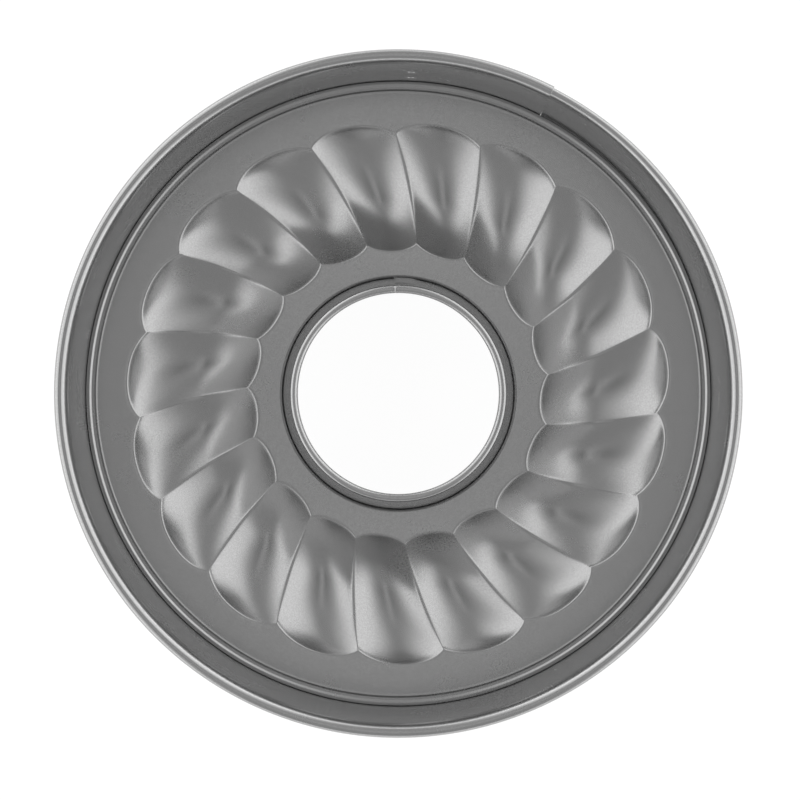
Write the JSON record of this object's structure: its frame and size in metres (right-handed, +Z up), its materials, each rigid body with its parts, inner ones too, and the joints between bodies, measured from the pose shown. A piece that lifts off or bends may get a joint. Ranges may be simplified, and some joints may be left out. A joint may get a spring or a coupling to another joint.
{
  "type": "springform ring mould",
  "caption": "Round springform ring mould: rolled-rim side band with an over-centre latch, and a lift-out base with twisted concave flutes and a conical centre tube.",
  "frame": {"origin": "on the tin's axis, in the plane of the foot it stands on", "axes": "+Z up along the tin's axis; +Y towards the latch and the lap of the band, the top of the picture; +X to the picture's right"},
  "size_m": [0.2704, 0.2736, 0.068],
  "materials": {
    "nonstick_coating": "satin grey non-stick coating with fine metallic flecks",
    "latch_sheet": "tinned steel sheet, lightly brushed",
    "rivet_metal": "coated rivet heads, satin",
    "bright_wire": "bright nickel-plated wire"
  },
  "bodies": {
    "band": {"side_band": "nonstick_coating", "lever_bracket": "latch_sheet", "bracket_rivets": "rivet_metal", "lever_pin": "bright_wire", "catch_bracket": "latch_sheet"},
    "base": {"base_plate": "nonstick_coating", "centre_tube": "nonstick_coating"},
    "lever": {"latch_lever": "latch_sheet"},
    "bail": {"latch_bail": "bright_wire"}
  },
  "joints": [
    {"name": "base_lift", "type": "slide", "parent": "band", "child": "base", "axis": [0, 0, 1], "range_m": [0, 0.07]},
    {"name": "lever_swing", "type": "hinge", "parent": "band", "child": "lever", "pos_m": [0.01773, 0.13464, 0.0315], "axis": [0, 0, -1], "range_deg": [0, 165]},
    {"name": "bail_swing", "type": "hinge", "parent": "lever", "child": "bail", "pos_m": [0.01157, 0.13384, 0.0315], "axis": [0, 0, -1], "range_deg": [-165, 0]}
  ],
  "couplings": [
    {"joint": "bail_swing", "follows": "lever_swing", "ratio": -1}
  ]
}
